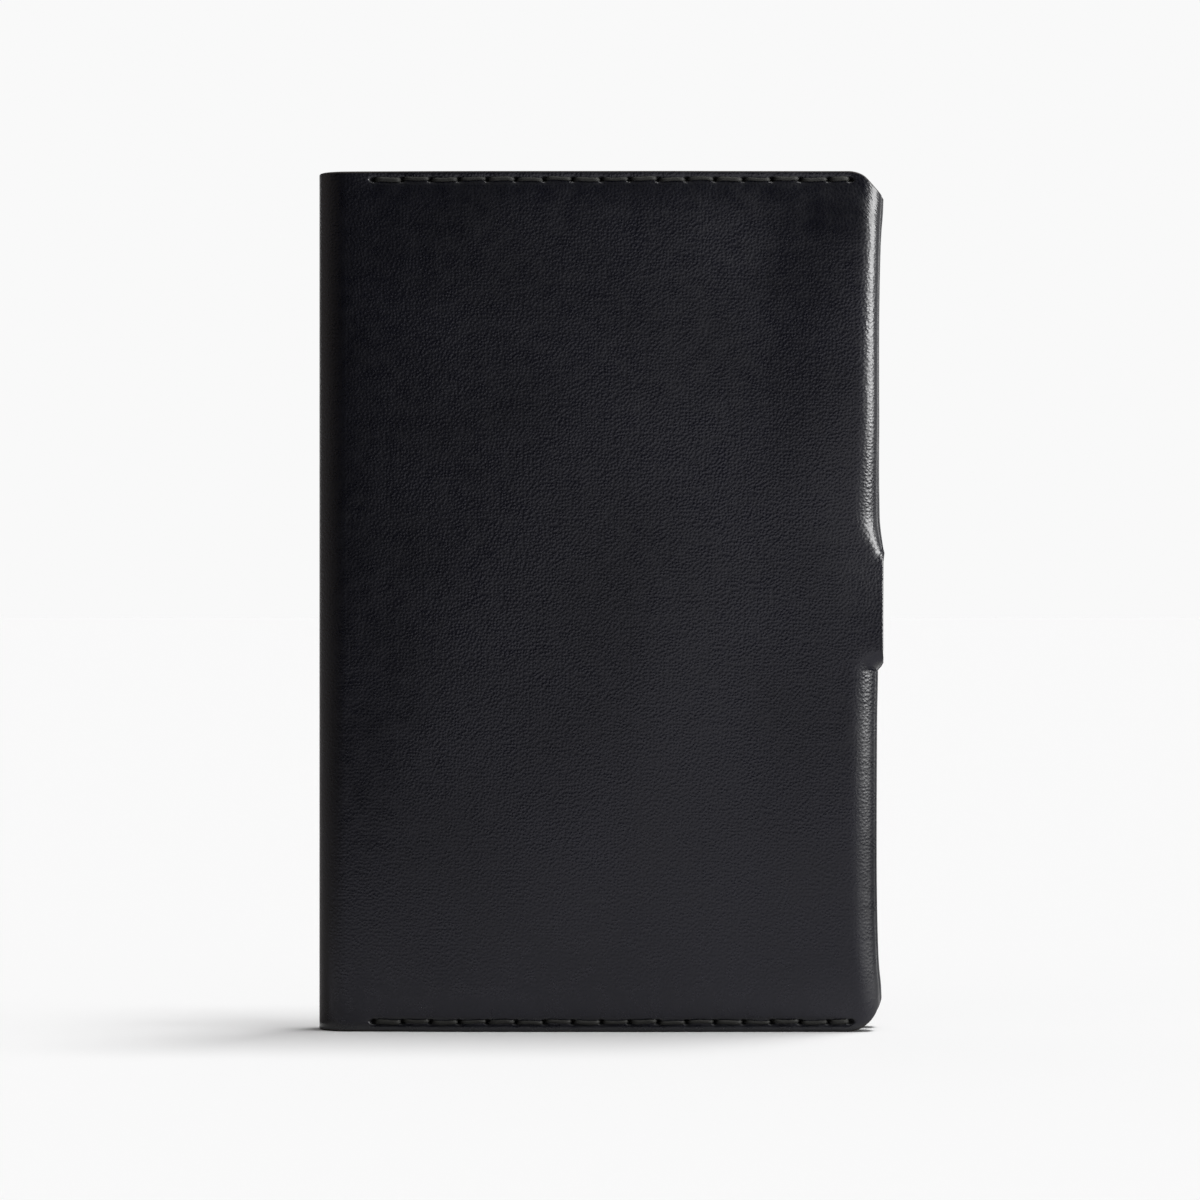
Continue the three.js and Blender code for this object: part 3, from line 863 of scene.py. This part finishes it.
def new_material(name):
    material = bpy.data.materials.new(name)
    material.use_nodes = True
    tree = material.node_tree
    return material, tree, tree.nodes["Principled BSDF"]


def ramp(tree, factor, low, high, stops):
    """A colour ramp over factor, mapped from low..high."""
    made = node(tree, "ValToRGB", {"Fac": node(tree, "MapRange", {
        "Value": factor, "From Min": low, "From Max": high,
    }).outputs["Result"]})
    elements = made.color_ramp.elements
    for index, (place, colour) in enumerate(stops):
        element = elements[index] if index < 2 else elements.new(place)
        element.position = place
        element.color = (*colour, 1)
    return made.outputs["Color"]


def scaled(tree, value, low, high, start=0.0, stop=1.0):
    return node(tree, "MapRange", {
        "Value": value, "From Min": start, "From Max": stop, "To Min": low, "To Max": high,
    }).outputs["Result"]


def combine(tree, operation, a, b):
    """The sum, the product or the larger of two values."""
    return node(tree, "Math", {0: a, 1: b}, operation=operation).outputs[0]


def mixed(tree, factor, a, b):
    """Colour a where factor is 0, and colour b where it is 1."""
    return node(tree, "Mix", {"Factor": factor, "A": a, "B": b}, data_type="RGBA").outputs[2]


def matt(name, tone):
    """A plain material without any shine."""
    material, _, shader = new_material(name)
    shader.inputs["Base Color"].default_value = (*tone, 1)
    shader.inputs["Roughness"].default_value = 1
    shader.inputs["Specular IOR Level"].default_value = 0
    return material


def grain_leather(name, dark, light, cells, gloss, relief_height):
    """Full-grain leather: pebbles that are fainter near the foot, soft wrinkles, and painted shade inside
    the stitch holes.
    """
    material, tree, shader = new_material(name)
    place = node(tree, "Attribute", attribute_name="blank").outputs["Vector"]
    pit = node(tree, "Attribute", attribute_name="pit").outputs["Fac"]
    drift = node(tree, "TexNoise", {"Vector": place, "Scale": 0.55, "Detail": 2.0}).outputs["Color"]
    shift = node(tree, "VectorMath", {0: drift, 1: (0.5, 0.5, 0.5)}, operation="SUBTRACT").outputs[0]
    shift = node(tree, "VectorMath", {0: shift, "Scale": 0.45}, operation="SCALE").outputs[0]
    bent = node(tree, "VectorMath", {0: place, 1: shift}, operation="ADD").outputs[0]
    pebble = node(tree, "TexVoronoi", {
        "Vector": bent, "Scale": cells, "Smoothness": 0.3, "Randomness": 0.85,
    }, feature="SMOOTH_F1", voronoi_dimensions="2D")
    pebble = scaled(tree, pebble.outputs["Distance"], 1.0, 0.0, 0.05, 0.6)
    wrinkle = node(tree, "TexVoronoi", {"Vector": bent, "Scale": 0.3}, feature="DISTANCE_TO_EDGE")
    wrinkle = scaled(tree, wrinkle.outputs["Distance"], 0.0, 1.0, 0.0, 0.2)
    pore = node(tree, "TexNoise", {"Vector": place, "Scale": 2.6, "Detail": 2.0}).outputs["Fac"]
    cloud = node(tree, "TexNoise", {"Vector": place, "Scale": 0.045, "Detail": 4.0}).outputs["Fac"]
    worn = node(tree, "TexNoise", {"Vector": bent, "Scale": 0.35, "Detail": 5.0}).outputs["Fac"]

    tone = combine(tree, "ADD", cloud, scaled(tree, pebble, -0.12, 0.08))
    colour = ramp(tree, tone, 0.25, 0.8, ((0.0, dark), (1.0, light)))
    # Painted shade: the base colour turns near black inside each stitch hole
    tree.links.new(mixed(tree, pit, colour, PAINTED_HOLE_SHADE), shader.inputs["Base Color"])
    polish = scaled(tree, worn, gloss - 0.05, gloss + 0.05, 0.3, 0.7)
    rough = combine(tree, "ADD", polish, scaled(tree, pebble, 0.06, 0.0))
    rough = combine(tree, "MAXIMUM", rough, scaled(tree, pit, 0.0, 1.0, 0.02, 0.3))
    tree.links.new(rough, shader.inputs["Roughness"])
    height = combine(tree, "ADD", pebble, scaled(tree, pore, 0.0, 0.5))
    height = combine(tree, "ADD", height, scaled(tree, wrinkle, 0.0, 0.12))
    above_foot = node(tree, "SeparateXYZ", {"Vector": place}).outputs["Y"]
    patchy = scaled(tree, cloud, 0.65, 1.0, 0.35, 0.65)
    strength = combine(tree, "MULTIPLY", patchy, scaled(tree, above_foot, 0.45, 1.0, 15, 80))
    relief = node(tree, "Bump", {"Height": height, "Strength": strength, "Distance": relief_height})
    tree.links.new(relief.outputs["Normal"], shader.inputs["Normal"])
    shader.inputs["Specular IOR Level"].default_value = 0.5
    return material


def flesh_leather(name):
    """The back of the hide: matt, fibrous and a little lighter."""
    material, tree, shader = new_material(name)
    place = node(tree, "Attribute", attribute_name="blank").outputs["Vector"]
    fibre = node(tree, "TexNoise", {
        "Vector": place, "Scale": 2.4, "Detail": 6.0, "Roughness": 0.7, "Distortion": 1.5,
    }).outputs["Fac"]
    cloud = node(tree, "TexNoise", {"Vector": place, "Scale": 0.12, "Detail": 3.0}).outputs["Fac"]
    tone = combine(tree, "ADD", fibre, cloud)
    colour = ramp(tree, tone, 0.6, 1.4, ((0.0, (0.008, 0.008, 0.009)), (1.0, (0.03, 0.029, 0.03))))
    tree.links.new(colour, shader.inputs["Base Color"])
    relief = node(tree, "Bump", {"Height": fibre, "Strength": 0.8, "Distance": 0.00012})
    tree.links.new(relief.outputs["Normal"], shader.inputs["Normal"])
    tree.links.new(scaled(tree, fibre, 0.8, 1.0, 0.3, 0.7), shader.inputs["Roughness"])
    shader.inputs["Specular IOR Level"].default_value = 0.15
    shader.inputs["Sheen Weight"].default_value = 0.2
    return material


def cut_edge(name):
    """Burnished cut edge: brownish black and finely specked."""
    material, tree, shader = new_material(name)
    place = node(tree, "Attribute", attribute_name="blank").outputs["Vector"]
    speck = node(tree, "TexNoise", {"Vector": place, "Scale": 1.6, "Detail": 4.0}).outputs["Fac"]
    colour = ramp(tree, speck, 0.3, 0.7, ((0.0, (0.010, 0.009, 0.008)), (1.0, (0.028, 0.023, 0.019))))
    tree.links.new(colour, shader.inputs["Base Color"])
    relief = node(tree, "Bump", {"Height": speck, "Strength": 0.5, "Distance": 0.0001})
    tree.links.new(relief.outputs["Normal"], shader.inputs["Normal"])
    tree.links.new(scaled(tree, speck, 0.6, 0.85, 0.3, 0.7), shader.inputs["Roughness"])
    shader.inputs["Specular IOR Level"].default_value = 0.25
    return material


def waxed_thread(name):
    """Waxed thread: black with an olive cast, fine fibres along its twist."""
    material, tree, shader = new_material(name)
    place = node(tree, "Attribute", attribute_name="strand").outputs["Vector"]
    twist = node(tree, "TexWave", {
        "Vector": place, "Scale": 1.1, "Distortion": 1.5, "Detail": 2.0, "Detail Scale": 2.0,
    }, bands_direction="DIAGONAL").outputs["Fac"]
    fibre = node(tree, "TexNoise", {"Vector": place, "Scale": 4.0, "Detail": 4.0}).outputs["Fac"]
    tone = combine(tree, "ADD", scaled(tree, twist, 0.0, 0.4), fibre)
    colour = ramp(tree, tone, 0.3, 1.1, ((0.0, (0.003, 0.003, 0.0024)), (1.0, (0.010, 0.010, 0.008))))
    tree.links.new(colour, shader.inputs["Base Color"])
    relief = node(tree, "Bump", {"Height": tone, "Strength": 0.5, "Distance": 0.00008})
    tree.links.new(relief.outputs["Normal"], shader.inputs["Normal"])
    tree.links.new(scaled(tree, fibre, 0.5, 0.75, 0.3, 0.7), shader.inputs["Roughness"])
    shader.inputs["Specular IOR Level"].default_value = 0.3
    return material


cover_grain = grain_leather(
    "cover_grain", (0.0010, 0.0011, 0.0026), (0.0022, 0.0023, 0.0050),
    cells=1.75, gloss=0.27, relief_height=0.000037,
)
card_grain = grain_leather(
    "card_grain", (0.0030, 0.0031, 0.0040), (0.0070, 0.0071, 0.0084),
    cells=2.3, gloss=0.42, relief_height=0.00003,
)
flesh = flesh_leather("leather_flesh")
edges = cut_edge("leather_edge")
thread = waxed_thread("waxed_thread")


def dress(piece, *materials):
    for material in materials:
        piece.data.materials.append(material)


def add_stitches(thread_node, body, runs, **shape):
    """The stitches of one row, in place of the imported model's thread."""
    stitches = make_stitches(thread_node + "_stitches", runs, **shape)
    dress(stitches, thread)
    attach(stitches, body)
    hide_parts(thread_node)


for half, name in ((FRONT, "front_leather"), (BACK, "back_leather")):
    cover = make_cover(half, name)
    dress(cover, cover_grain, flesh, edges)
    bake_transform(cover)
    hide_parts(half.node, "spine")
    for row, place in zip(ROWS, ("bottom", "top")):
        add_stitches(f"{half.body}_{place}_thread", half.body, cover_runs(half, row))

for card in CARDS:
    pocket = make_card_pocket(card, card.node + "_leather")
    dress(pocket, card_grain, flesh, edges)
    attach(pocket, FRONT.body)
    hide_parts(card.node)
    foot = card.foot + CARD_STITCH_INSET
    run = (CARD_FOOT_HOLES, lambda along, across: card_surface(card, along, foot + across))
    foot_thread = card.node.replace("pocket", "foot_thread")
    add_stitches(foot_thread, FRONT.body, [run], size=CARD_THREAD, sink=CARD_THREAD_SINK)
for side, place in ((-1, "left"), (1, "right")):
    run = (CARD_SIDE_HOLES, lambda along, across: card_side_surface(side, along, across))
    add_stitches(f"card_{place}_thread", FRONT.body, [run], size=CARD_THREAD, sink=CARD_THREAD_SINK)

camera_data = bpy.data.cameras.new("camera")
camera_data.sensor_width = 36
camera_data.lens = 145.05
camera = bpy.data.objects.new("camera", camera_data)
camera.location = (-0.00042, -0.8563, 0.07595)
camera.rotation_euler = (math.pi / 2, 0, 0)
bpy.context.collection.objects.link(camera)
bpy.context.scene.camera = camera


def rectangle(x0, y0, x1, y1):
    return [(x0, y0), (x1, y0), (x1, y1), (x0, y1)]


def flat_mesh(name, corners, height):
    mesh = bpy.data.meshes.new(name)
    mesh.from_pydata([(x, y, height) for x, y in corners], [], [(0, 1, 2, 3)])
    return mesh


floor_mesh = flat_mesh("floor", rectangle(-FLOOR_REACH, -FLOOR_REACH, FLOOR_REACH, FLOOR_REACH), 0)
floor = bpy.data.objects.new("floor", floor_mesh)
bpy.context.collection.objects.link(floor)
floor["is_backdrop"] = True
floor_mesh.materials.append(matt("floor", (0.9, 0.9, 0.9)))


def add_flag(name, corners, tone, lift=0.001):
    """A card lying on the floor that reflections see, but not the camera, shadows or diffuse light."""
    mesh = flat_mesh(name, corners, lift)
    flag = bpy.data.objects.new(name, mesh)
    flag.visible_camera = False
    flag.visible_shadow = False
    flag.visible_diffuse = False
    bpy.context.collection.objects.link(flag)
    flag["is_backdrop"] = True
    mesh.materials.append(matt(name, tone))


far_grey = [(-0.15, -3), (2.1, -3), (NEAR_HALF, NEAR_FRONT), (-0.05, NEAR_FRONT)]
add_flag("near_flag", rectangle(-NEAR_HALF, NEAR_FRONT, NEAR_HALF, NEAR_BACK), (0.72, 0.71, 0.79))
add_flag("side_flag", rectangle(-NEAR_HALF, NEAR_BACK, -0.051, FLOOR_REACH), (0.25, 0.24, 0.24))
add_flag("grey_flag", far_grey, (0.90, 0.88, 0.97), lift=0.002)
add_flag("front_flag", rectangle(-FLOOR_REACH, -FLOOR_REACH, FLOOR_REACH, NEAR_FRONT), (0.01, 0.01, 0.01))
add_flag("left_flag", rectangle(-FLOOR_REACH, NEAR_FRONT, -NEAR_HALF, FLOOR_REACH), (0.25, 0.24, 0.24))
add_flag("right_flag", rectangle(NEAR_HALF, NEAR_FRONT, FLOOR_REACH, FLOOR_REACH), (0.03, 0.03, 0.03))

world = bpy.data.worlds.new("studio")
bpy.context.scene.world = world
world.use_nodes = True
tree = world.node_tree
path = node(tree, "LightPath")
direction = node(tree, "TexCoord").outputs["Generated"]
parts = node(tree, "SeparateXYZ", {"Vector": direction})
behind = scaled(tree, parts.outputs["Y"], 0.0, 1.0, 0.78, 0.99)
overhead = scaled(tree, parts.outputs["Z"], 0.0, 1.0, 0.3, 0.9)
studio = ramp(tree, overhead, 0.0, 1.0, ((0.0, (0.016, 0.016, 0.019)), (1.0, (0.28, 0.28, 0.28))))
beside = scaled(tree, parts.outputs["X"], 0.0, 1.0, -0.5, -0.95)
studio = mixed(tree, beside, studio, LEFT_CARD)
aim = node(tree, "VectorMath", {0: direction, 1: FILL_AIM}, operation="DOT_PRODUCT").outputs["Value"]
fill = scaled(tree, aim, 0.0, 1.0, 0.90, 0.965)
studio = mixed(tree, fill, studio, FRONT_FILL)
mirrored = combine(tree, "ADD", path.outputs["Is Glossy Ray"], path.outputs["Is Transmission Ray"])
mirrored = combine(tree, "MULTIPLY", mirrored, behind)
seen = node(tree, "Math", {0: path.outputs["Is Camera Ray"], 1: mirrored}, operation="ADD", use_clamp=True)
shown = mixed(tree, seen.outputs[0], studio, BACKDROP)
tree.links.new(shown, tree.nodes["Background"].inputs["Color"])

for place, back_tilt, right_tilt, angle, energy in (
    ("front", -10, 14, 14, 0.59),
    ("middle", 0, 14, 14, 1.0),
    ("back", 12, 14, 14, 1.02),
    ("side", 0, 46, 34, 0.33),
):
    sun_data = bpy.data.lights.new(place + "_key", "SUN")
    sun_data.energy = energy
    sun_data.angle = math.radians(angle)
    sun = bpy.data.objects.new(place + "_key", sun_data)
    sun.rotation_euler = (math.radians(-back_tilt), math.radians(right_tilt), 0)
    bpy.context.collection.objects.link(sun)

lit = bpy.data.collections.new("softbox_lights")
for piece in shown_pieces():
    lit.objects.link(piece)
for name, radiance, place, turn, size in (
    ("softbox", 16, (0.317, -0.136, 0.215), 63, (0.195, 0.25)),
    ("side_panel", 2.3, (1.32, -0.676, 0.2), 62, (2.17, 0.4)),
    ("back_panel", 0.6, (0.97, 0.77, 0.25), 130, (1.4, 0.5)),
):
    panel_data = bpy.data.lights.new(name, "AREA")
    panel_data.shape = "RECTANGLE"
    panel_data.size, panel_data.size_y = size
    panel_data.energy = radiance * math.pi * size[0] * size[1]
    panel = bpy.data.objects.new(name, panel_data)
    panel.location = place
    panel.rotation_euler = (math.pi / 2, 0, math.radians(turn))
    panel.light_linking.receiver_collection = lit
    bpy.context.collection.objects.link(panel)

bpy.context.scene.view_settings.view_transform = "Standard"
